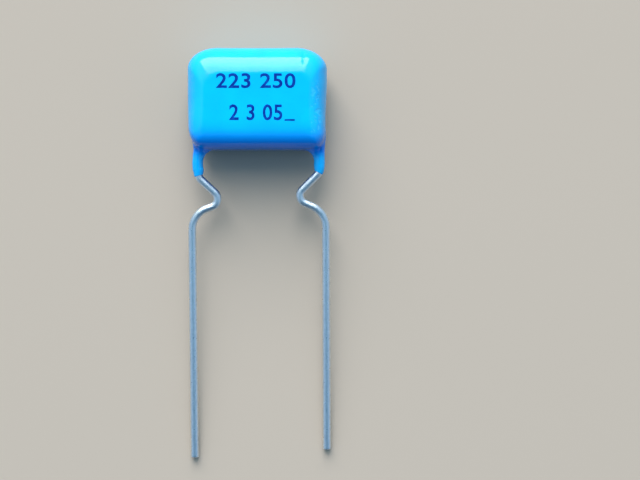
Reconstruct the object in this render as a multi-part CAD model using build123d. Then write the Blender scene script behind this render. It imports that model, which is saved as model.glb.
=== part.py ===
from build123d import *
import math
import os
from dataclasses import dataclass

# Dipped polyester film capacitor with two kinked wire leads. It lies on its flat back:
# X runs from lead to lead, the leads run towards -Y and +Z is up, out of the printed face.
# The origin is at the middle of the flat underside. All lengths are in millimetres.

# Wound film element and the sprayed metal on its two ends
winding_length = 7.96
winding_height = 6.3
winding_thickness = 3.2
contact_thickness = 0.4
contact_margin = 0.15

# Wire leads, welded flat against the end contacts
wire_diameter = 0.6
weld_sink = 0.15
weld_reach = 1.6
tip_break = 0.06

# Cured epoxy over the element: its cover on each side, and the swell that the dip leaves
face_cover = 0.6
edge_cover = 0.675
end_cover = 0.32
element_shift = 0.13
end_taper = 0.2
top_corner_radius = 1.75
foot_corner_radius = 0.95
edge_shoulder = 2.0
end_shoulder = 0.95
face_corner_share = 0.4
shoulder_steps = 10

# Skirts of epoxy that run down the leads
skirt_wall = 0.1
lip_wall = 0.04
lip_length = 0.1
meniscus_radius = 0.9


@dataclass
class LeadForm:
    """Where one lead turns, measured down from the lead side of the body, and how far it steps sideways.

    skirt_reach is how far the full sleeve of epoxy follows the wire, bend included, before its lip.
    """

    skirt_reach: float
    bend_drop: float
    knee_drop: float
    knee_step: float
    foot_drop: float
    foot_step: float
    tip_drop: float
    toe_out: float
    bend_radius: float = 0.6
    knee_radius: float = 0.63
    foot_radius: float = 1.7


left_form = LeadForm(
    skirt_reach=1.66,
    bend_drop=2.04,
    knee_drop=3.78,
    knee_step=1.87,
    foot_drop=4.89,
    foot_step=0.51,
    tip_drop=23.34,
    toe_out=-0.05,
)
right_form = LeadForm(
    skirt_reach=1.62,
    bend_drop=1.63,
    knee_drop=3.58,
    knee_step=1.95,
    foot_drop=4.66,
    foot_step=0.49,
    tip_drop=22.73,
    toe_out=0.09,
)

# Sizes that follow from the ones above
wire_radius = wire_diameter / 2
skirt_radius = wire_radius + skirt_wall
contact_face = winding_length / 2 + contact_thickness
lead_offset = contact_face + wire_radius - weld_sink
body_half_length = lead_offset + wire_radius + end_cover
body_half_height = winding_height / 2 + edge_cover
body_thickness = winding_thickness + 2 * face_cover
mid_height = body_thickness / 2


def obround(height, thickness):
    """Flattened-roll section across the winding axis."""
    return Plane.YZ * SlotOverall(height, thickness)


def film_winding():
    """Pressed roll of metallised film, its axis along X."""
    roll = extrude(obround(winding_height, winding_thickness), winding_length / 2, both=True)
    return Pos(element_shift, 0, mid_height) * roll


def end_contact(side, lead):
    """Sprayed metal on one end of the roll, with the groove that the welded wire lies in."""
    margin = 2 * contact_margin
    layer = extrude(obround(winding_height - margin, winding_thickness - margin), contact_thickness)
    if side < 0:
        layer = layer.mirror(Plane.YZ)
    inner_face = element_shift + side * winding_length / 2
    return Pos(inner_face, 0, mid_height) * layer - lead


def lead_corners(side, form):
    """Corner points of one lead's centre line. Below the first bend it sags until its tip lies on the surface."""
    x = element_shift + side * lead_offset
    foot = x + side * form.foot_step
    turns = [
        (x, form.bend_drop),
        (x - side * form.knee_step, form.knee_drop),
        (foot, form.foot_drop),
        (foot + side * form.toe_out, form.tip_drop),
    ]
    sag = (mid_height - wire_radius) / (form.tip_drop - form.bend_drop)
    corners = [(x, weld_reach, mid_height)]
    for across, drop in turns:
        corners.append((across, -body_half_height - drop, mid_height - sag * (drop - form.bend_drop)))
    return corners


def lead_path(side, form):
    """Centre line of one lead, from its welded end to its tip."""
    radii = [form.bend_radius, form.knee_radius, form.foot_radius]
    return FilletPolyline(*lead_corners(side, form), radius=radii)


def tube(path, radius):
    """Round bar along a centre line."""
    return sweep(Plane(path @ 0, z_dir=path % 0) * Circle(radius), path=path)


def wire_lead(side, form):
    """Round wire along the kinked centre line, its cut tip slightly broken."""
    wire = tube(lead_path(side, form), wire_radius)
    tip = wire.faces().sort_by(Axis.Y)[0]
    return chamfer(tip.edges(), tip_break)


def coat_outline(rise):
    """Plan outline of the coat at a height given by the angle round its shoulder."""
    fall = 1 - math.cos(rise)
    half_height = body_half_height - edge_shoulder * fall
    top_half = body_half_length + end_taper / 2 - end_shoulder * fall
    foot_half = body_half_length - end_taper / 2 - end_shoulder * fall
    shrink = 1 - (1 - face_corner_share) * fall
    top = [(-top_half, half_height), (top_half, half_height)]
    foot = [(foot_half, -half_height), (-foot_half, -half_height)]
    plan = make_face(Polyline(*top, *foot, close=True))
    top_corners = plan.vertices().sort_by(Axis.Y)[2:]
    plan = fillet(top_corners, top_corner_radius * shrink)
    foot_corners = plan.vertices().sort_by(Axis.Y)[:2]
    plan = fillet(foot_corners, foot_corner_radius * shrink)
    return Pos(0, 0, mid_height * (1 + math.sin(rise))) * plan


def coat_body():
    """Pillow of epoxy round the element: flat faces, wide shoulders over the roll, tight ones at the ends."""
    quarter = math.pi / 2
    rises = [quarter * step / shoulder_steps for step in range(-shoulder_steps, shoulder_steps + 1)]
    return loft([coat_outline(rise) for rise in rises])


def coat_skirt(side, form):
    """Epoxy sleeve down one lead, as far round the first bend as the dip reached, with a lip that thins out."""
    path = lead_path(side, form)
    covered = weld_reach + body_half_height + form.skirt_reach
    sleeve_path = path.trim(0, covered / path.length)
    sleeve_end = Plane(sleeve_path @ 1, z_dir=sleeve_path % 1)
    on_end = (Align.CENTER, Align.CENTER, Align.MIN)
    lip = Cone(skirt_radius, wire_radius + lip_wall, lip_length, align=on_end)
    return tube(sleeve_path, skirt_radius) + sleeve_end * lip


def epoxy_coat(inner_pieces):
    """The whole dip coat, hollow round everything it was dipped over."""
    coat = coat_body()
    for side, form in ((-1, left_form), (1, right_form)):
        skirt = coat_skirt(side, form)
        joined = coat + skirt
        coat = fillet(new_edges(coat, skirt, combined=joined), meniscus_radius)
    for piece in inner_pieces:
        coat = coat - piece
    return coat


lead_left = wire_lead(-1, left_form)
lead_right = wire_lead(1, right_form)
parts = {
    "film_winding": film_winding(),
    "end_contact_left": end_contact(-1, lead_left),
    "end_contact_right": end_contact(1, lead_right),
    "lead_left": lead_left,
    "lead_right": lead_right,
}
parts["epoxy_coat"] = epoxy_coat(list(parts.values()))

os.makedirs("parts", exist_ok=True)
for name, part in parts.items():
    export_step(part, f"parts/{name}.step")
    print(name, len(part.solids()), round(part.volume, 2))
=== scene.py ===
# %% [markdown]
# # A dipped film capacitor
# The part lies on its flat back: a pillow of glossy blue epoxy round a wound film element, with two
# tinned wires that leave it through short skirts of epoxy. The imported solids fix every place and
# size. This lesson gives them their finish: the run of the cured epoxy, the drawn and tinned wire,
# the print on the face, and daylight from one tall window.

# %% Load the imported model
import math

import bmesh
import bpy
import numpy as np
from mathutils import Matrix, Vector, noise


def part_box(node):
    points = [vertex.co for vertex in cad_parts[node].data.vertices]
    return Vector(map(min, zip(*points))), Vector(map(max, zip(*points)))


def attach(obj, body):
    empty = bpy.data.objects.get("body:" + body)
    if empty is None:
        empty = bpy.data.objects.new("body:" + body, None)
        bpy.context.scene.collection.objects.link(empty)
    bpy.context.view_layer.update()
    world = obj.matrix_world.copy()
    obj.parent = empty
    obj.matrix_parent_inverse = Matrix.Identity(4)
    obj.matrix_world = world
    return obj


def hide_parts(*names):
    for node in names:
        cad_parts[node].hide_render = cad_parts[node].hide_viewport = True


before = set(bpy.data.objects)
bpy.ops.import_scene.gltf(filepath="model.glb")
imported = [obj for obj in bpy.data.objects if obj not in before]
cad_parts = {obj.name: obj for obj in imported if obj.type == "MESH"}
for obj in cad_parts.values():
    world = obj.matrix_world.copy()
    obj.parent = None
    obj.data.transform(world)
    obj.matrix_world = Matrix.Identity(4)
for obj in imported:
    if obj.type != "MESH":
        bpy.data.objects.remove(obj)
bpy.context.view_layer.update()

mm = 0.001
scene = bpy.context.scene
scene.view_settings.view_transform = "Standard"
print("nodes:", sorted(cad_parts))

# %% [markdown]
# ## The camera
# The picture was taken straight down, with the part left of and above the middle of the frame. The
# part could be moved to its place in the picture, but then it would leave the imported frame. A camera
# that hangs over it without any turn gives the same view. Its place follows from the scale of the
# picture: it stands about 90 mm above the part.

# %% Hang the camera over the part
camera_place = (4.71 * mm, -10.56 * mm, 91.7 * mm)
view_angle = math.radians(30)

camera_data = bpy.data.cameras.new("overhead_camera")
camera_data.sensor_width = 36
camera_data.angle = view_angle
camera_data.clip_start = 1 * mm
camera = bpy.data.objects.new("overhead_camera", camera_data)
camera.location = camera_place
scene.collection.objects.link(camera)
scene.camera = camera
print("camera at", [round(v / mm, 2) for v in camera.location], "mm")

# %% [markdown]
# ## Daylight
# The bright patch on the upper shoulder is the mirror image of a tall window, and its shape says
# where that window is: some 54 degrees wide, from a low sill to high overhead, and brightest at the
# sill. A picture of a room could light the part too, but one area lamp and a painted sky need no
# file. The lamp stands in for the window, and the sky for the room. The room glows round the window,
# is a pale sky blue at the sides and overhead, which the wires mirror, and is darker on the near side
# and straight above.

# %% Set up the window
window_distance = 1.0
sill_angle, head_angle = math.radians(13), math.radians(70)
left_angle, right_angle = math.radians(36), math.radians(17.5)
window_radiance = 5.5
window_colour = (1.0, 1.0, 1.07)

window_sill = window_distance * math.tan(sill_angle)
window_head = window_distance * math.tan(head_angle)
window_left = -window_distance * math.tan(left_angle)
window_right = window_distance * math.tan(right_angle)
window_data = bpy.data.lights.new("window", "AREA")
window_data.shape = "RECTANGLE"
window_data.size = window_right - window_left
window_data.size_y = window_head - window_sill
window_data.energy = window_radiance * math.pi * window_data.size * window_data.size_y
window_data.color = window_colour
window = bpy.data.objects.new("window", window_data)
window.location = ((window_left + window_right) / 2, window_distance, (window_head + window_sill) / 2)
window.rotation_euler = (math.radians(-90), 0, 0)
window.visible_camera = False
scene.collection.objects.link(window)
print("window", round(window_data.size, 2), "by", round(window_data.size_y, 2), "m")


# %% Write helpers for node trees
def new_node(tree, kind, **settings):
    """Add a node to a tree and set its properties."""
    node = tree.nodes.new(kind)
    for name, value in settings.items():
        setattr(node, name, value)
    return node


def math_node(tree, operation, *values):
    """Add a Math node; each value is a number or a socket. Returns its output."""
    node = new_node(tree, "ShaderNodeMath", operation=operation)
    for socket, value in zip(node.inputs, values):
        if isinstance(value, bpy.types.NodeSocket):
            tree.links.new(value, socket)
        else:
            socket.default_value = value
    return node.outputs[0]


def ramp_node(tree, value, low, high, start=0.0, end=1.0):
    """Add a smooth Map Range node from low..high to start..end. Returns its output."""
    node = new_node(tree, "ShaderNodeMapRange", interpolation_type="SMOOTHSTEP")
    tree.links.new(value, node.inputs["Value"])
    for name, number in (("From Min", low), ("From Max", high), ("To Min", start), ("To Max", end)):
        node.inputs[name].default_value = number
    return node.outputs["Result"]


def mix_colour(tree, factor, first, second):
    """Mix two colours; each is a tuple or a socket. Returns the result."""
    node = new_node(tree, "ShaderNodeMix", data_type="RGBA")
    tree.links.new(factor, node.inputs["Factor"])
    for name, colour in (("A", first), ("B", second)):
        socket = next(s for s in node.inputs if s.name == name and s.type == "RGBA")
        if isinstance(colour, bpy.types.NodeSocket):
            tree.links.new(colour, socket)
        else:
            socket.default_value = (*colour, 1)
    return next(s for s in node.outputs if s.type == "RGBA")


# %% Shade the window from its head to its sill
head_strength, sill_strength = 0.6, 1.4
shade_start, shade_end = 0.3, 1.0

window_data.use_nodes = True
pane = window_data.node_tree
across_pane = new_node(pane, "ShaderNodeSeparateXYZ")
pane.links.new(new_node(pane, "ShaderNodeNewGeometry").outputs["Parametric"], across_pane.inputs[0])
strength = ramp_node(pane, across_pane.outputs["Y"], shade_start, shade_end, head_strength, sill_strength)
pane.links.new(strength, pane.nodes["Emission"].inputs["Strength"])
print("window strength from", head_strength, "at its head to", sill_strength, "at its sill")

# %% Colour the room
side_colour, overhead_colour = (0.36, 0.54, 0.76), (0.33, 0.53, 0.72)
glow_colour = (1.0, 1.15, 1.2)
near_colour = (0.03, 0.09, 0.17)
zenith_colour = (0.08, 0.25, 0.37)

world = bpy.data.worlds.new("room_light")
scene.world = world
world.use_nodes = True
sky = world.node_tree
direction = new_node(sky, "ShaderNodeTexCoord").outputs["Generated"]
axes = new_node(sky, "ShaderNodeSeparateXYZ")
sky.links.new(direction, axes.inputs[0])


def sky_patch(azimuth, elevation, inner, outer):
    """Mask of a round patch of the room, by angles in degrees; azimuth 0 is straight at the window."""
    az, el = math.radians(azimuth), math.radians(elevation)
    node = new_node(sky, "ShaderNodeVectorMath", operation="DOT_PRODUCT")
    node.inputs[1].default_value = (math.sin(az) * math.cos(el), math.cos(az) * math.cos(el), math.sin(el))
    sky.links.new(direction, node.inputs[0])
    edge, core = math.cos(math.radians(outer)), math.cos(math.radians(inner))
    return ramp_node(sky, node.outputs["Value"], edge, core)


overhead = ramp_node(sky, axes.outputs["Z"], low=0.5, high=0.95)
glow = sky_patch(azimuth=-16, elevation=36, inner=22, outer=52)
towards_near = math_node(sky, "MULTIPLY", axes.outputs["Y"], -1)
near_side = ramp_node(sky, towards_near, low=0.23, high=0.5)
aside = math_node(sky, "ABSOLUTE", axes.outputs["X"])
near_middle = ramp_node(sky, aside, low=0.5, high=0.85, start=1, end=0)
near = math_node(sky, "MULTIPLY", near_side, near_middle)
zenith = sky_patch(azimuth=0, elevation=90, inner=6, outer=27)

sky_colour = mix_colour(sky, overhead, side_colour, overhead_colour)
sky_colour = mix_colour(sky, glow, sky_colour, glow_colour)
sky_colour = mix_colour(sky, near, sky_colour, near_colour)
sky_colour = mix_colour(sky, zenith, sky_colour, zenith_colour)
sky.links.new(sky_colour, sky.nodes["Background"].inputs["Color"])
print("sky nodes:", len(sky.nodes))

# %% [markdown]
# ## The floor
# The part is shown on a plain pale surface. A curved backdrop would hide the horizon from low views,
# but one large flat mesh is enough. It lies a hair below the part, so that no two faces share a
# plane. What it throws back on the part is weak and warm, while the camera and the mirror of metal
# and gloss see it pale.

# %% Lay the floor
floor_half = 1.5
floor_drop = 0.01 * mm
bounce_colour, seen_colour = (0.28, 0.18, 0.12), (0.515, 0.435, 0.345)

floor_mesh = bpy.data.meshes.new("floor")
floor_corners = []
for side_x, side_y in ((-1, -1), (1, -1), (1, 1), (-1, 1)):
    floor_corners.append((side_x * floor_half, side_y * floor_half, -floor_drop))
floor_mesh.from_pydata(floor_corners, [], [(0, 1, 2, 3)])
floor = bpy.data.objects.new("floor", floor_mesh)
scene.collection.objects.link(floor)
floor_paint = bpy.data.materials.new("pale_floor")
floor_paint.use_nodes = True
floor_tree = floor_paint.node_tree
floor_shader = floor_tree.nodes["Principled BSDF"]
rays = new_node(floor_tree, "ShaderNodeLightPath").outputs
seen = math_node(floor_tree, "ADD", rays["Is Camera Ray"], rays["Is Glossy Ray"])
seen = math_node(floor_tree, "ADD", seen, rays["Is Transmission Ray"])
seen = math_node(floor_tree, "MINIMUM", seen, 1.0)
floor_colour = mix_colour(floor_tree, seen, bounce_colour, seen_colour)
floor_tree.links.new(floor_colour, floor_shader.inputs["Base Color"])
floor_shader.inputs["Roughness"].default_value = 0.85
floor_shader.inputs["Specular IOR Level"].default_value = 0.1
floor_mesh.materials.append(floor_paint)
print("floor", 2 * floor_half, "m wide")

# %% [markdown]
# ## Unevenness that every finish shares
# Nothing on the part is one flat colour: epoxy, tin, ink and sprayed metal all vary a little, each
# at its own scale. Every material could have its own noise, but one node group says it once. It makes
# that variation from layers of noise, and each material places it with its own scale and limits.

# %% Build the unevenness group
uneven = bpy.data.node_groups.new("unevenness", "ShaderNodeTree")
uneven.interface.new_socket("Place", in_out="INPUT", socket_type="NodeSocketVector")
for input_name, value in (("Scale", 1000.0), ("Detail", 3.0), ("Low", 0.0), ("High", 1.0)):
    socket = uneven.interface.new_socket(input_name, in_out="INPUT", socket_type="NodeSocketFloat")
    socket.default_value = value
uneven.interface.new_socket("Value", in_out="OUTPUT", socket_type="NodeSocketFloat")
uneven_in = new_node(uneven, "NodeGroupInput")
uneven_out = new_node(uneven, "NodeGroupOutput")
cloud = new_node(uneven, "ShaderNodeTexNoise")
uneven.links.new(uneven_in.outputs["Place"], cloud.inputs["Vector"])
uneven.links.new(uneven_in.outputs["Scale"], cloud.inputs["Scale"])
uneven.links.new(uneven_in.outputs["Detail"], cloud.inputs["Detail"])
spread = new_node(uneven, "ShaderNodeMapRange", interpolation_type="SMOOTHSTEP")
spread.inputs["From Min"].default_value = 0.3
spread.inputs["From Max"].default_value = 0.7
uneven.links.new(cloud.outputs["Fac"], spread.inputs["Value"])
uneven.links.new(uneven_in.outputs["Low"], spread.inputs["To Min"])
uneven.links.new(uneven_in.outputs["High"], spread.inputs["To Max"])
uneven.links.new(spread.outputs["Result"], uneven_out.inputs["Value"])
print("group sockets:", [s.name for s in uneven.interface.items_tree])


# %% Write helpers for finishes
def unevenness(tree, place, scale, detail=3.0, low=0.0, high=1.0):
    """Place the group in a material, and return a value that varies from low to high over the surface."""
    node = new_node(tree, "ShaderNodeGroup", node_tree=uneven)
    tree.links.new(place, node.inputs["Place"])
    for name, value in (("Scale", scale), ("Detail", detail), ("Low", low), ("High", high)):
        node.inputs[name].default_value = value
    return node.outputs["Value"]


def new_finish(name):
    """Make a plain Principled material. Returns it, its tree, its shader and the place on the piece."""
    material = bpy.data.materials.new(name)
    material.use_nodes = True
    tree = material.node_tree
    place = new_node(tree, "ShaderNodeTexCoord").outputs["Object"]
    return material, tree, tree.nodes["Principled BSDF"], place


def raise_surface(tree, shader, height, depth):
    """Feed a height map to a shader's normal, as relief of the given depth in metres."""
    bump = new_node(tree, "ShaderNodeBump")
    bump.inputs["Distance"].default_value = depth
    tree.links.new(height, bump.inputs["Height"])
    tree.links.new(bump.outputs["Normal"], shader.inputs["Normal"])


# %% [markdown]
# ## Tinned wire
# The leads are copper-clad wire, drawn through a die and dipped in tin. Drawing leaves fine lines
# along the wire, and tin dulls to a cold grey in patches. On Object coordinates the lines would cut
# across the bends. They run with the wire, so the finish reads a place on the wire itself, round it
# and along it, which the sweep stores on the mesh.

# %% Make the tinned finish
bright_tin, dull_tin, drawn_line_tin = (0.75, 0.83, 0.88), (0.65, 0.75, 0.82), (0.54, 0.64, 0.72)
bright_roughness, dulling = 0.27, 0.12
line_stretch = (1, 1, 0.06)

tinned, tree, shader, _ = new_finish("drawn_tin")
wire_place = new_node(tree, "ShaderNodeAttribute", attribute_name="wire_place").outputs["Vector"]
drawn = new_node(tree, "ShaderNodeMapping")
drawn.inputs["Scale"].default_value = line_stretch
tree.links.new(wire_place, drawn.inputs["Vector"])
lines = unevenness(tree, drawn.outputs["Vector"], scale=7.0, detail=4.0)
dulled = unevenness(tree, wire_place, scale=1.3, detail=4.0)
tin_colour = mix_colour(tree, dulled, bright_tin, dull_tin)
in_line = ramp_node(tree, lines, low=0.0, high=0.35, start=1, end=0)
tree.links.new(mix_colour(tree, in_line, tin_colour, drawn_line_tin), shader.inputs["Base Color"])
shader.inputs["Metallic"].default_value = 1.0
tin_roughness = math_node(tree, "MULTIPLY_ADD", dulled, dulling, bright_roughness)
tree.links.new(tin_roughness, shader.inputs["Roughness"])
raise_surface(tree, shader, lines, depth=0.006 * mm)
print(tinned.name, "has", len(tree.nodes), "nodes")

# %% [markdown]
# ## The leads
# Each lead is one round wire: straight down from its weld, bent in to a kink that holds the body off
# a board, bent out again, then straight to a cut tip. The imported solid could stay, but it has no place
# along the wire for the drawn lines to follow. A sweep has one, and Geometry Nodes makes it well: the
# corners are listed, Fillet Curve gives each its own bend radius, and Curve to Mesh sweeps the
# wire. From the first bend on the lead sags, until its tip lies on the floor.

# %% Draw the corners of both leads
wire_radius = 0.3 * mm
tip_bevel = 0.06 * mm
lead_height = 2.2 * mm
weld_end = 1.6 * mm
lead_turns = {
    "lead_left": ((-4.40, -5.87), (-2.43, -7.69), (-4.905, -8.63), (-4.86, -27.165)),
    "lead_right": ((4.66, -5.505), (2.745, -7.41), (5.145, -8.475), (5.24, -26.555)),
}
bend_radii = {"lead_left": (0.68, 0.64, 1.66), "lead_right": (0.64, 0.625, 1.68)}


def lead_corners(turns):
    """Corner points of a lead in metres, from the weld to the tip, with its sag."""
    bend_y, tip_y = turns[0][1], turns[-1][1]
    corners = [Vector((turns[0][0] * mm, weld_end, lead_height))]
    for x, y in turns:
        sag = (y - bend_y) / (tip_y - bend_y) * (lead_height - wire_radius)
        corners.append(Vector((x * mm, y * mm, lead_height - sag)))
    return corners


for name, turns in lead_turns.items():
    corners = lead_corners(turns)
    print(name, "runs", [round((b - a).length / mm, 2) for a, b in zip(corners, corners[1:])], "mm")

# %% Name the inputs of the sweep
wire_sides = 40
ring_spacing = 0.06 * mm
bend_steps = 24

wire_sweep = bpy.data.node_groups.new("bent_wire", "GeometryNodeTree")
wire_sweep.interface.new_socket("Geometry", in_out="INPUT", socket_type="NodeSocketGeometry")
wire_sockets = {}
for input_name, kind, value in (
    ("Wire radius", "NodeSocketFloat", wire_radius),
    ("Ring spacing", "NodeSocketFloat", ring_spacing),
    ("Tip bevel", "NodeSocketFloat", tip_bevel),
    ("Sides", "NodeSocketInt", wire_sides),
    ("Steps per bend", "NodeSocketInt", bend_steps),
    ("Finish", "NodeSocketMaterial", None),
):
    socket = wire_sweep.interface.new_socket(input_name, in_out="INPUT", socket_type=kind)
    if value is not None:
        socket.default_value = value
    wire_sockets[input_name] = socket.identifier
wire_sweep.interface.new_socket("Geometry", in_out="OUTPUT", socket_type="NodeSocketGeometry")
sweep_in = new_node(wire_sweep, "NodeGroupInput")
sweep_out = new_node(wire_sweep, "NodeGroupOutput")
join = wire_sweep.links.new
print("sweep inputs:", list(wire_sockets))


# %% Bend the line and note the length along it
def keep_on_points(geometry, name, kind, value):
    """Store a value under a name on a geometry's points. Returns the geometry."""
    node = new_node(wire_sweep, "GeometryNodeStoreNamedAttribute", data_type=kind, domain="POINT")
    node.inputs["Name"].default_value = name
    join(geometry, node.inputs["Geometry"])
    join(value, node.inputs["Value"])
    return node.outputs["Geometry"]


def kept_value(name, kind):
    """Read a value that is stored under a name."""
    node = new_node(wire_sweep, "GeometryNodeInputNamedAttribute", data_type=kind)
    node.inputs["Name"].default_value = name
    return node.outputs["Attribute"]


line = new_node(wire_sweep, "GeometryNodeMeshToCurve")
join(sweep_in.outputs["Geometry"], line.inputs["Mesh"])
bends = new_node(wire_sweep, "GeometryNodeFilletCurve", mode="POLY")
join(line.outputs["Curve"], bends.inputs["Curve"])
join(kept_value("bend_radius", "FLOAT"), bends.inputs["Radius"])
join(sweep_in.outputs["Steps per bend"], bends.inputs["Count"])
rings = new_node(wire_sweep, "GeometryNodeResampleCurve", mode="LENGTH")
join(bends.outputs["Curve"], rings.inputs["Curve"])
join(sweep_in.outputs["Ring spacing"], rings.inputs["Length"])
along = new_node(wire_sweep, "GeometryNodeSplineParameter")
bent_line = keep_on_points(rings.outputs["Curve"], "along", "FLOAT", along.outputs["Length"])
print("nodes that bend the line:", len(wire_sweep.nodes))

# %% Sweep a round section along it, with a bevel at the tip
total = new_node(wire_sweep, "GeometryNodeSplineLength")
to_tip = math_node(wire_sweep, "SUBTRACT", total.outputs["Length"], along.outputs["Length"])
bevelled = math_node(wire_sweep, "SUBTRACT", sweep_in.outputs["Tip bevel"], to_tip)
bevelled = math_node(wire_sweep, "MAXIMUM", bevelled, 0.0)
bevelled = math_node(wire_sweep, "DIVIDE", bevelled, sweep_in.outputs["Wire radius"])

section = new_node(wire_sweep, "GeometryNodeCurvePrimitiveCircle", mode="RADIUS")
join(sweep_in.outputs["Sides"], section.inputs["Resolution"])
join(sweep_in.outputs["Wire radius"], section.inputs["Radius"])
unit = new_node(wire_sweep, "ShaderNodeVectorMath", operation="NORMALIZE")
join(new_node(wire_sweep, "GeometryNodeInputPosition").outputs["Position"], unit.inputs[0])
round_line = keep_on_points(section.outputs["Curve"], "round", "FLOAT_VECTOR", unit.outputs["Vector"])

wire = new_node(wire_sweep, "GeometryNodeCurveToMesh")
wire.inputs["Fill Caps"].default_value = True
join(bent_line, wire.inputs["Curve"])
join(round_line, wire.inputs["Profile Curve"])
join(math_node(wire_sweep, "SUBTRACT", 1.0, bevelled), wire.inputs["Scale"])
print("nodes with the sweep:", len(wire_sweep.nodes))

# %% Store the place on the wire and finish the sweep
lengthwise = new_node(wire_sweep, "ShaderNodeCombineXYZ")
radii_along = math_node(wire_sweep, "DIVIDE", kept_value("along", "FLOAT"), sweep_in.outputs["Wire radius"])
join(radii_along, lengthwise.inputs["Z"])
on_wire = new_node(wire_sweep, "ShaderNodeVectorMath", operation="ADD")
join(kept_value("round", "FLOAT_VECTOR"), on_wire.inputs[0])
join(lengthwise.outputs["Vector"], on_wire.inputs[1])
placed = keep_on_points(wire.outputs["Mesh"], "wire_place", "FLOAT_VECTOR", on_wire.outputs["Vector"])

smooth = new_node(wire_sweep, "GeometryNodeSetShadeSmooth")
realized = new_node(wire_sweep, "GeometryNodeRealizeInstances")
painted = new_node(wire_sweep, "GeometryNodeSetMaterial")
join(placed, smooth.inputs["Geometry"])
join(smooth.outputs["Geometry"], realized.inputs["Geometry"])
join(realized.outputs["Geometry"], painted.inputs["Geometry"])
join(sweep_in.outputs["Finish"], painted.inputs["Material"])
join(painted.outputs["Geometry"], sweep_out.inputs["Geometry"])
print("nodes in all:", len(wire_sweep.nodes))


# %% Sweep both leads
def finished_mesh(name, line_mesh, tree, settings):
    """Run a geometry tree on a mesh, and return the result as a plain object of that name."""
    carrier = bpy.data.objects.new(name + "_line", line_mesh)
    scene.collection.objects.link(carrier)
    modifier = carrier.modifiers.new("tree", "NODES")
    modifier.node_group = tree
    for identifier, value in settings.items():
        modifier[identifier] = value
    evaluated = carrier.evaluated_get(bpy.context.evaluated_depsgraph_get())
    mesh = bpy.data.meshes.new_from_object(evaluated)
    mesh.name = name
    bpy.data.objects.remove(carrier)
    piece = bpy.data.objects.new(name, mesh)
    scene.collection.objects.link(piece)
    return piece


def line_of(name, corners, radii):
    """A mesh of one bent line, with the bend radius kept at each corner."""
    mesh = bpy.data.meshes.new(name + "_line")
    mesh.from_pydata(corners, [(i, i + 1) for i in range(len(corners) - 1)], [])
    attribute = mesh.attributes.new("bend_radius", "FLOAT", "POINT")
    attribute.data.foreach_set("value", [0.0, *radii, 0.0])
    return mesh


leads = {}
for name, turns in lead_turns.items():
    path = line_of(name, lead_corners(turns), [radius * mm for radius in bend_radii[name]])
    lead = finished_mesh("tinned_" + name, path, wire_sweep, {wire_sockets["Finish"]: tinned})
    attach(lead, "root")
    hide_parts(name)
    leads[name] = lead
    solid_low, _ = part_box(name)
    tip_y = min(vertex.co.y for vertex in lead.data.vertices)
    print(lead.name, len(lead.data.polygons), "faces, tip at y", round(tip_y / mm, 2), "mm,",
          "tip of the solid at", round(solid_low[1] / mm, 2), "mm")

# %% [markdown]
# ## The epoxy coat as a field
# The body is dipped, so surface tension shapes it: flat faces, wide soft shoulders over the roll,
# tight rounded corners where two shoulders meet, and a meniscus where the resin runs down each wire.
# A list of points could not say that well. A field can: a number at each place in space that is zero
# on the skin, negative inside and positive outside. Here it works in millimetres, on all points at
# once. The plan outline swells from the rim of the flat face to the widest outline at half height,
# and its swell and the height over the middle lie on an ellipse.

# %% Set the sizes of the pillow
half_length, half_height, thickness = 5.15, 3.825, 4.4
mid_height = thickness / 2
top_rise, top_dip = 0.035, 0.05
left_end, left_taper, left_taper_span = 5.2, 0.026, (-4, 0)
right_end, right_taper, right_taper_span = 5.21, 0.045, (-1.2, 1.0)
top_shoulder, foot_shoulder, end_shoulder = 2.3, 1.45, 1.45
face_sink = 0.014
foot_squareness, squareness_onset = 1.0, 1.5

# Corner radii across and along, for the left and the right corner
top_corners = ((2.3, 1.65), (2.45, 1.75))
top_rim_corners = ((1.5, 1.22), (0.95, 0.85))
foot_corners = ((1.2, 1.85), (0.8, 1.4))
foot_rim_corners = ((0.35, 0.35), (0.35, 0.35))
corner_onset, corner_slack = 3, 6
print("body", 2 * half_length, "by", 2 * half_height, "by", thickness, "mm")


# %% Write the field of the pillow
def corner_gap(rise, side, rim, widest, right, growth):
    """Gap to the corner between an edge and an end: an ellipse that grows from the rim outwards."""
    radii = []
    for axis in range(2):
        at_rim = np.where(right, rim[1][axis], rim[0][axis])
        radii.append(at_rim + (np.where(right, widest[1][axis], widest[0][axis]) - at_rim) * growth)
    across, along = radii
    a = rise / along + 1
    b = side / across + 1
    curved = (np.hypot(a, b) - 1) * along
    return np.where((a > 0) & (b > 0), curved, np.maximum(rise, side))


def outline_gap(x, y, swell):
    """Gap to the plan outline: swell 0 is the rim of the flat face, 1 is the widest outline."""
    fall = 1 - swell
    beyond = np.maximum(swell - 1, 0) * corner_slack
    growth = np.minimum(swell, 1) ** corner_onset + corner_onset / corner_slack * (1 - np.exp(-beyond))
    right = x > 0
    right_reach = right_end + right_taper * y.clip(*right_taper_span)
    left_reach = left_end + left_taper * y.clip(*left_taper_span)
    side = np.abs(x) - np.where(right, right_reach, left_reach) + end_shoulder * fall
    top = y - (half_height + top_rise - top_shoulder * fall) + top_dip * (1 - (x / half_length) ** 2)
    foot = -y - (half_height - foot_shoulder * fall)
    top_gap = corner_gap(top, side, top_rim_corners, top_corners, right, growth)
    foot_gap = corner_gap(foot, side, foot_rim_corners, foot_corners, right, growth)
    return np.maximum(top_gap, foot_gap)


most_swell, halvings = 2.5, 26


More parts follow.
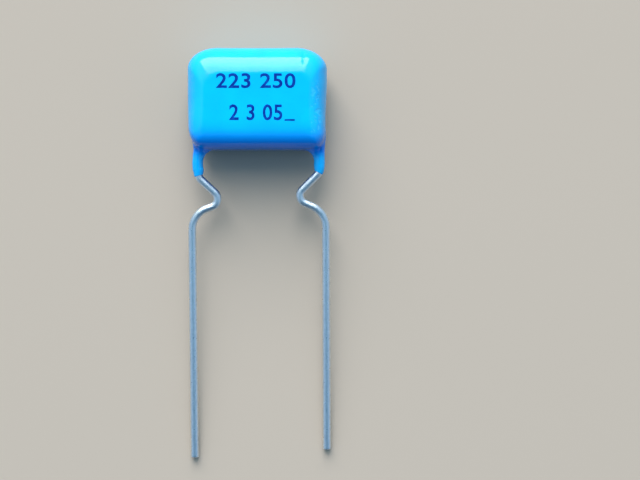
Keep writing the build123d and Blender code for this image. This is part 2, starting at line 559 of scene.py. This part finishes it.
def pillow(points):
    """Field of the body, where swell and height lie on an ellipse that is squarer at the foot."""
    x, y, z = points.T
    low, high = np.zeros(len(points)), np.full(len(points), most_swell)
    for _ in range(halvings):
        swell = (low + high) / 2
        outside = outline_gap(x, y, swell) > 0
        low = np.where(outside, swell, low)
        high = np.where(outside, high, swell)
    swell = np.where(outline_gap(x, y, np.zeros(len(points))) <= 0, 0, (low + high) / 2)
    half = np.where(z > mid_height, mid_height - face_sink, mid_height)
    power = 2 + foot_squareness * (-y / half_height).clip(0, 1) ** squareness_onset
    return (swell ** power + np.abs((z - mid_height) / half) ** power) ** (1 / power) - 1


probe = np.array([[0, 0, thickness], [0, half_height, mid_height], [right_end, 0, mid_height]])
print("pillow at face, top and end:", pillow(probe).round(4))

# %% [markdown]
# ## The sleeves
# Resin has run a short way down each wire and set there as a sleeve. A second tube along the lead
# would do, but its thickness changes all the way: the resin is thin at the neck, gathers in the
# middle, and thins out to a soft lip where the dip ended. So each sleeve is a chain of short round
# cones, and it takes its path from the swept lead: the middle of each ring of the mesh.

# %% Follow the wire with each sleeve
lip_round = 0.05
lip_radius = 0.325
neck_gap = 0.05
sleeve_ends = {"lead_left": 7.38, "lead_right": 7.16}

# Height along Y, shift across and radius of each step, down to the bend
sleeve_steps = {
    "lead_left": ((-2.6, 0.0, 0.27), (-3.5, 0.0, 0.33), (-4.2, -0.04, 0.39), (-4.8, -0.06, 0.415),
                  (-5.25, -0.04, 0.405)),
    "lead_right": ((-2.6, 0.03, 0.27), (-3.5, 0.04, 0.33), (-4.2, 0.02, 0.395), (-4.7, 0.0, 0.415),
                   (-5.0, -0.01, 0.415)),
}


def wire_middle(lead):
    """Middle of each ring of a swept wire, in millimetres."""
    places = np.array([v.co for v in lead.data.vertices]) / mm
    rings = len(places) // wire_sides
    return places[:rings * wire_sides].reshape(rings, wire_sides, 3).mean(axis=1)


def sleeve_chain(name):
    """Middle points and radii of a sleeve, and the direction at its end."""
    middle = wire_middle(leads[name])
    run = np.concatenate([[0], np.cumsum(np.linalg.norm(np.diff(middle, axis=0), axis=1))])
    steps = sleeve_steps[name]
    chain = [(middle[0, 0] + shift, y, middle[0, 2]) for y, shift, _ in steps]
    bent = middle[(middle[:, 1] < steps[-1][0] - neck_gap) & (run < sleeve_ends[name])]
    last = [np.interp(sleeve_ends[name], run, middle[:, axis]) for axis in range(3)]
    chain = np.array([*chain, *bent, last])
    thinning = np.linspace(steps[-1][2], lip_radius, len(bent) + 1)
    radii = np.array([*(radius for _, _, radius in steps), *thinning])
    direction = chain[-1] - chain[-2]
    return chain, radii, direction / np.linalg.norm(direction)


sleeves = [sleeve_chain(name) for name in lead_turns]
for name, (chain, radii, direction) in zip(lead_turns, sleeves):
    print(name, "sleeve ends at", chain[-1].round(2), "towards", direction.round(2))


# %% Write the field of the sleeves
def round_corner(first, second, radius):
    """Distance to the corner between two surfaces, rounded by a radius."""
    a, b = first + radius, second + radius
    return np.hypot(np.maximum(a, 0), np.maximum(b, 0)) + np.minimum(np.maximum(a, b), 0) - radius


def sleeve_field(points):
    """Field of both sleeves, each cut off by a rounded lip."""
    nearest = np.full(len(points), np.inf)
    for chain, radii, direction in sleeves:
        tube = np.full(len(points), np.inf)
        for start, end, first, last in zip(chain[:-1], chain[1:], radii[:-1], radii[1:]):
            piece = end - start
            share = np.clip((points - start) @ piece / (piece @ piece), 0, 1)
            gap = np.linalg.norm(points - start - share[:, None] * piece, axis=1)
            tube = np.minimum(tube, gap - first - share * (last - first))
        beyond = (points - chain[-1]) @ direction
        nearest = np.minimum(nearest, round_corner(tube, beyond, lip_round))
    return nearest


necks = np.array([[chain[0, 0], -half_height, mid_height] for chain, _, _ in sleeves])
print("depth of the wires in their sleeves:", -sleeve_field(necks).round(3), "mm")

# %% [markdown]
# ## One coat
# Where the sleeve leaves the body, the resin leaves a fillet, as if a ball had been rolled along the
# corner. A bevel on the mesh would need a clean edge there, so the fields are joined instead. The
# ball is smaller over the front and back of a sleeve, and where the two skins run almost side by
# side, so the sleeve inside the body leaves no bulge. It is larger outside the right sleeve, where
# more resin has stayed. Last come a slow ripple, since cured resin is never quite even, and one small
# groove beside the upper right corner, where a thread of resin has set. It falls off slowly on one
# side and steeply on the other.

# %% Make the cured surface uneven
ripple_depth, ripple_scale = 0.012, 0.55
groove_depth = 0.07
groove_middle, groove_length = (3.50, 2.78), 0.55
groove_slow_side, groove_steep_side = 0.45, 0.15


def unevenness_depth(points):
    """How far the cured surface lies below the ideal one."""
    ripple = np.array([0.5 + 0.5 * noise.noise(Vector(p) * ripple_scale) for p in points])
    beside = points[:, 0] - groove_middle[0]
    beside = np.where(beside < 0, beside / groove_slow_side, beside / groove_steep_side)
    along = (points[:, 1] - groove_middle[1]) / groove_length
    groove = (1 - np.abs(beside)).clip(0) ** 2 * np.exp(-along ** 4) * (points[:, 2] > mid_height)
    return ripple_depth * ripple + groove_depth * groove


groove_point = np.array([[*groove_middle, thickness]])
print("deepest in the groove:", unevenness_depth(groove_point).round(3), "mm")

# %% Join the fields into one coat
meniscus = 0.9
front_share = 0.42
right_outside = 0.35
least_slope, no_reach, no_length = 0.05, 1e-6, 1e-9


def slope(field, points, step=0.004):
    """Gradient of a field by small steps along each axis."""
    columns = []
    for axis in np.eye(3) * step:
        columns.append((field(points + axis) - field(points - axis)) / (2 * step))
    return np.stack(columns, axis=1)


def coat_gap(points):
    """Distance to the skin of the whole coat, about true near it, and a direction that leads off it."""
    body, body_slope = pillow(points), slope(pillow, points)
    steepness = np.linalg.norm(body_slope, axis=1).clip(least_slope)
    body, body_slope = body / steepness, body_slope / steepness[:, None]
    skirt, skirt_slope = sleeve_field(points), slope(sleeve_field, points)
    apart = 1 - (body_slope * skirt_slope).sum(axis=1)
    beside = front_share + (1 - front_share) * np.abs(skirt_slope[:, 0])
    outside = np.where(points[:, 0] > 0, right_outside * skirt_slope[:, 0].clip(0), 0)
    ball = meniscus * (beside + outside) * np.sqrt(apart.clip(0, 1))
    to_body, to_skirt = np.maximum(ball - body, 0), np.maximum(ball - skirt, 0)
    reach = np.hypot(to_body, to_skirt)
    gap = np.maximum(ball, np.minimum(body, skirt)) - reach
    melted = to_body[:, None] * body_slope + to_skirt[:, None] * skirt_slope
    nearer = np.where((body < skirt)[:, None], body_slope, skirt_slope)
    outwards = np.where((reach > no_reach)[:, None], melted, nearer)
    outwards = outwards / np.linalg.norm(outwards, axis=1).clip(no_length)[:, None]
    return gap + unevenness_depth(points), outwards


print("coat at face, top and end:", coat_gap(probe)[0].round(4), "mm")

# %% [markdown]
# ## The coat's mesh
# A field has no faces yet. A rough start is quick to make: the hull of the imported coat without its
# skirts, and a row of balls along each sleeve. Voxel remeshing joins them into one even net of quads,
# and then every point walks down the field's slope until it lies on the skin. Walking, remeshing
# finer and walking again leaves an even net. The slope also gives the exact normal at each point,
# which keeps the gloss free of facets.

# %% Make a rough start
ball_spacing = 0.15


def rough_start():
    """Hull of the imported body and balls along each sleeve, in millimetres."""
    shape = bmesh.new()
    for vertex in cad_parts["epoxy_coat"].data.vertices:
        if vertex.co.y > -half_height * mm:
            shape.verts.new(vertex.co / mm)
    hull = bmesh.ops.convex_hull(shape, input=shape.verts)
    inner = [v for v in hull["geom_interior"] if isinstance(v, bmesh.types.BMVert)]
    bmesh.ops.delete(shape, geom=inner)
    for chain, radii, _ in sleeves:
        for y in np.arange(chain[0, 1], chain[-1, 1], -ball_spacing):
            place = [np.interp(-y, -chain[:, 1], chain[:, axis]) for axis in range(3)]
            centre = Matrix.Translation(place)
            bmesh.ops.create_icosphere(shape, subdivisions=2, radius=radii[-1], matrix=centre)
    mesh = bpy.data.meshes.new("coat_start")
    shape.to_mesh(mesh)
    shape.free()
    return mesh


start_mesh = rough_start()
print("rough start:", len(start_mesh.polygons), "faces")

# %% Remesh and walk to the skin
longest_step = 0.25


def remeshed(mesh, voxel):
    """A mesh joined and divided evenly by voxels."""
    carrier = bpy.data.objects.new("coat_voxels", mesh)
    scene.collection.objects.link(carrier)
    modifier = carrier.modifiers.new("voxels", "REMESH")
    modifier.mode = "VOXEL"
    modifier.voxel_size = voxel
    evaluated = carrier.evaluated_get(bpy.context.evaluated_depsgraph_get())
    result = bpy.data.meshes.new_from_object(evaluated)
    bpy.data.objects.remove(carrier)
    return result


def walk_to_skin(mesh, rounds):
    """Move each vertex down the slope of the field until it lies on the skin. Returns the places."""
    places = np.empty(len(mesh.vertices) * 3)
    mesh.vertices.foreach_get("co", places)
    places = places.reshape(-1, 3)
    for _ in range(rounds):
        gap, outwards = coat_gap(places)
        places = places - np.clip(gap, -longest_step, longest_step)[:, None] * outwards
    mesh.vertices.foreach_set("co", places.ravel())
    mesh.update()
    gap, _ = coat_gap(places)
    print(len(places), "points, largest gap to the skin", round(float(np.abs(gap).max()), 4), "mm")
    return places


# %% Grow the coat
rough_voxel, fine_voxel = 0.16, 0.08
rough_rounds, fine_rounds = 7, 5
normal_step = 0.02

rough = remeshed(start_mesh, rough_voxel)
walk_to_skin(rough, rough_rounds)
coat_mesh = remeshed(rough, fine_voxel)
coat_places = walk_to_skin(coat_mesh, fine_rounds)
coat_normals = slope(lambda points: coat_gap(points)[0], coat_places, normal_step)
coat_normals /= np.linalg.norm(coat_normals, axis=1)[:, None]
coat_mesh.name = "dipped_coat"
coat_mesh.transform(Matrix.Scale(mm, 4))
coat_mesh.polygons.foreach_set("use_smooth", [True] * len(coat_mesh.polygons))
coat_mesh.normals_split_custom_set_from_vertices([tuple(n) for n in coat_normals])
coat = bpy.data.objects.new("dipped_coat", coat_mesh)
scene.collection.objects.link(coat)
print(len(coat_mesh.polygons), "faces on the coat")

# %% [markdown]
# ## Blue epoxy
# The resin is full of pigment: a strong cyan-blue under a clear gloss, a little lighter in patches.
# Towards the foot it is painted a deeper blue, and a little less deep on the sleeves: painted shade
# on the side that faces away from the window. One colour would look like moulded plastic, so the
# colour changes with the place on the body. The resin cures with a faint orange peel. Beside the
# right end some bubbles broke through and left a rough strip of pits and pale specks, partly the
# frost of the pits and partly a painted sheen.

# %% Colour the epoxy
roll_blue, thin_blue = (0.001, 0.49, 0.96), (0.001, 0.54, 0.98)
# Painted shade: a deeper blue for the foot, which faces away from the window, and a little less on the
# sleeves
foot_shade_blue, sleeve_shade_blue = (0.001, 0.255, 0.98), (0.001, 0.45, 0.98)
foot_shade_from, foot_shade_to = 1.4 * mm, 4.0 * mm
sleeve_from, sleeve_to = 3.8 * mm, 4.5 * mm

epoxy, tree, shader, place = new_finish("cured_epoxy")
body_axes = new_node(tree, "ShaderNodeSeparateXYZ")
tree.links.new(place, body_axes.inputs[0])
down = math_node(tree, "MULTIPLY", body_axes.outputs["Y"], -1)
epoxy_colour = mix_colour(tree, unevenness(tree, place, scale=420.0, detail=2.0), roll_blue, thin_blue)
# Paint the shade: deeper blue towards the foot, then less deep again on the sleeves
epoxy_colour = mix_colour(tree, ramp_node(tree, down, foot_shade_from, foot_shade_to), epoxy_colour, foot_shade_blue)
epoxy_colour = mix_colour(tree, ramp_node(tree, down, sleeve_from, sleeve_to), epoxy_colour, sleeve_shade_blue)
print("blue from", roll_blue, "on the roll to", foot_shade_blue, "at the foot")

# %% Add the rough strip, the peel and the gloss
# Pale specks in the pits: partly the frost of the pits, partly a painted sheen on them
frost_and_sheen_blue, frost_and_sheen_share = (0.08, 0.68, 0.98), 0.35
gloss_roughness, strip_roughness = 0.085, 0.08
pit_height, peel_depth = -4.0, 0.003 * mm
strip_from, strip_full = 3.9 * mm, 4.25 * mm

# The other edges of the strip: axis, where it fades in millimetres, strength before and after
strip_edges = (("X", 4.6, 4.9, 1, 0), ("Y", -3.0, -2.4, 0, 1), ("Y", 0.6, 1.4, 1, 0))
strip = ramp_node(tree, body_axes.outputs["X"], strip_from, strip_full)
for axis, low, high, before, after in strip_edges:
    fade = ramp_node(tree, body_axes.outputs[axis], low * mm, high * mm, before, after)
    strip = math_node(tree, "MULTIPLY", strip, fade)
pits = ramp_node(tree, unevenness(tree, place, scale=3200.0), low=0.62, high=0.95)
pits = math_node(tree, "MULTIPLY", pits, strip)
# Lighter colour in the pits: partly frost, partly painted sheen
frost_and_sheen = math_node(tree, "MULTIPLY", pits, frost_and_sheen_share)
tree.links.new(mix_colour(tree, frost_and_sheen, epoxy_colour, frost_and_sheen_blue), shader.inputs["Base Color"])
peel = unevenness(tree, place, scale=1500.0, detail=2.0)
relief = math_node(tree, "MULTIPLY_ADD", pits, pit_height, peel)
raise_surface(tree, shader, relief, peel_depth)
epoxy_roughness = math_node(tree, "MULTIPLY_ADD", strip, strip_roughness, gloss_roughness)
tree.links.new(epoxy_roughness, shader.inputs["Roughness"])
shader.inputs["IOR"].default_value = 1.42
coat_mesh.materials.clear()
coat_mesh.materials.append(epoxy)
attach(coat, "root")
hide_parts("epoxy_coat")
print(epoxy.name, "has", len(tree.nodes), "nodes")

# %% [markdown]
# ## The print
# A stamp has left two rows of dark blue figures on the face, with soft, slightly uneven edges. Plain
# numbers stand there. They could be painted by the epoxy's material, but curved strokes are hard to
# say in nodes. So text is turned into a thin mesh first. Then each row is fitted to its place, and
# every point is laid on the skin of the coat, so the ink follows the start of the shoulder.

# %% Mix the ink
full_ink, worn_ink = (0.001, 0.027, 0.25), (0.001, 0.09, 0.47)
ink_roughness, thin_roughness = 0.45, 0.15

ink, tree, shader, place = new_finish("stamp_ink")
thin_spots = unevenness(tree, place, scale=5200.0, detail=4.0)
blotches = unevenness(tree, place, scale=1600.0, detail=2.0)
worn = math_node(tree, "MULTIPLY", thin_spots, blotches)
tree.links.new(mix_colour(tree, worn, full_ink, worn_ink), shader.inputs["Base Color"])
print_roughness = math_node(tree, "MULTIPLY_ADD", thin_spots, thin_roughness, ink_roughness)
tree.links.new(print_roughness, shader.inputs["Roughness"])
shader.inputs["Specular IOR Level"].default_value = 0.05
print(ink.name, "has", len(tree.nodes), "nodes")

# %% Turn figures into a closed mesh
stroke_weight = 0.016
figure_spacing = 1.06
figure_depth = 0.05
seam_gap, longest_edge, edge_cuts = 0.0001, 0.12, 2


def figure_mesh(body):
    """A text of plain figures as a mesh, lying flat, of about unit height."""
    text = bpy.data.curves.new("figures", "FONT")
    text.body = body
    text.extrude = figure_depth
    text.offset = stroke_weight
    text.resolution_u = 6
    text.space_character = figure_spacing
    carrier = bpy.data.objects.new("figures", text)
    scene.collection.objects.link(carrier)
    evaluated = carrier.evaluated_get(bpy.context.evaluated_depsgraph_get())
    mesh = bpy.data.meshes.new_from_object(evaluated)
    bpy.data.objects.remove(carrier)
    return mesh


def closed_shape(mesh):
    """The figures with their seams merged, their long edges divided and their faces turned outwards."""
    shape = bmesh.new()
    shape.from_mesh(mesh)
    bmesh.ops.remove_doubles(shape, verts=shape.verts, dist=seam_gap)
    bmesh.ops.triangulate(shape, faces=shape.faces)
    long_edges = [edge for edge in shape.edges if edge.calc_length() > longest_edge]
    bmesh.ops.subdivide_edges(shape, edges=long_edges, cuts=edge_cuts)
    bmesh.ops.triangulate(shape, faces=shape.faces)
    bmesh.ops.recalc_face_normals(shape, faces=shape.faces)
    return shape


# %% Lay the figures on the skin
ink_height, ink_root = 0.008, 0.03
edge_wander, wander_scale = 0.012, 7
skin_rounds, least_rise = 4, 0.3

# A fixed seed keeps the edges of the ink the same on each run
noise.seed_set(1)


def skin_height(x, y):
    """Height of the coat's upper skin over a place on the face."""
    points = np.stack([x, y, np.full(len(x), thickness - face_sink)], axis=1)
    for _ in range(skin_rounds):
        gap, outwards = coat_gap(points)
        points[:, 2] -= gap / outwards[:, 2].clip(least_rise)
    return points[:, 2]


def stamp(name, body, left, right, foot, top):
    """Fit a row of figures into its place on the face and lay it on the skin."""
    mesh = figure_mesh(body)
    shape = closed_shape(mesh)
    open_edges = sum(not edge.is_manifold for edge in shape.edges)
    places = np.array([v.co for v in shape.verts])
    low, high = places.min(axis=0), places.max(axis=0)
    x = left + (places[:, 0] - low[0]) / (high[0] - low[0]) * (right - left)
    y = foot + (places[:, 1] - low[1]) / (high[1] - low[1]) * (top - foot)
    wander = np.array([noise.noise_vector(Vector((px, py, 0)) * wander_scale) for px, py in zip(x, y)])
    x, y = x + edge_wander * wander[:, 0], y + edge_wander * wander[:, 1]
    upper_share = (places[:, 2] - low[2]) / (high[2] - low[2])
    z = skin_height(x, y) - ink_root + upper_share * (ink_root + ink_height)
    for vertex, spot in zip(shape.verts, np.stack([x, y, z], axis=1)):
        vertex.co = Vector(spot) * mm
    shape.to_mesh(mesh)
    shape.free()
    mesh.name = name
    mesh.materials.clear()
    mesh.materials.append(ink)
    row = bpy.data.objects.new(name, mesh)
    scene.collection.objects.link(row)
    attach(row, "root")
    print(name, len(mesh.polygons), "faces,", open_edges, "open edges")


stamp("print_upper_row", "223 250", left=-2.89, right=2.92, foot=0.55, top=1.64)
stamp("print_lower_row", "2 3 05", left=-1.93, right=1.95, foot=-1.80, top=-0.64)
stamp("print_end_bar", "_", left=2.12, right=2.86, foot=-1.84, top=-1.72)

# %% [markdown]
# ## Inside the coat
# The wound film and the two sprayed ends are sealed in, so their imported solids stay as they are. They
# still get a true finish for anyone who takes the coat off: satin film with the edges of its turns,
# and grainy metal.

# %% Finish the inner pieces
pale_film, dark_film = (0.74, 0.76, 0.78), (0.60, 0.62, 0.65)
dark_grain, pale_grain = (0.42, 0.43, 0.44), (0.62, 0.63, 0.64)

film, tree, shader, place = new_finish("wound_film")
film_turns = new_node(tree, "ShaderNodeTexWave", wave_type="BANDS", bands_direction="Z")
film_turns.inputs["Scale"].default_value = 4200.0
film_turns.inputs["Distortion"].default_value = 1.5
tree.links.new(place, film_turns.inputs["Vector"])
film_colour = mix_colour(tree, film_turns.outputs["Fac"], pale_film, dark_film)
tree.links.new(film_colour, shader.inputs["Base Color"])
shader.inputs["Metallic"].default_value = 0.6
film_roughness = unevenness(tree, place, scale=900.0, low=0.25, high=0.4)
tree.links.new(film_roughness, shader.inputs["Roughness"])
raise_surface(tree, shader, film_turns.outputs["Fac"], depth=0.004 * mm)

sprayed, tree, shader, place = new_finish("zinc_spray")
grain = unevenness(tree, place, scale=9000.0, detail=5.0)
tree.links.new(mix_colour(tree, grain, dark_grain, pale_grain), shader.inputs["Base Color"])
shader.inputs["Metallic"].default_value = 0.85
spray_roughness = unevenness(tree, place, scale=6000.0, detail=4.0, low=0.5, high=0.75)
tree.links.new(spray_roughness, shader.inputs["Roughness"])
raise_surface(tree, shader, grain, depth=0.03 * mm)

inner_finishes = {"film_winding": film, "end_contact_left": sprayed, "end_contact_right": sprayed}
for node_name, material in inner_finishes.items():
    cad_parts[node_name].data.materials.clear()
    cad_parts[node_name].data.materials.append(material)
    print(node_name, "is finished with", material.name)
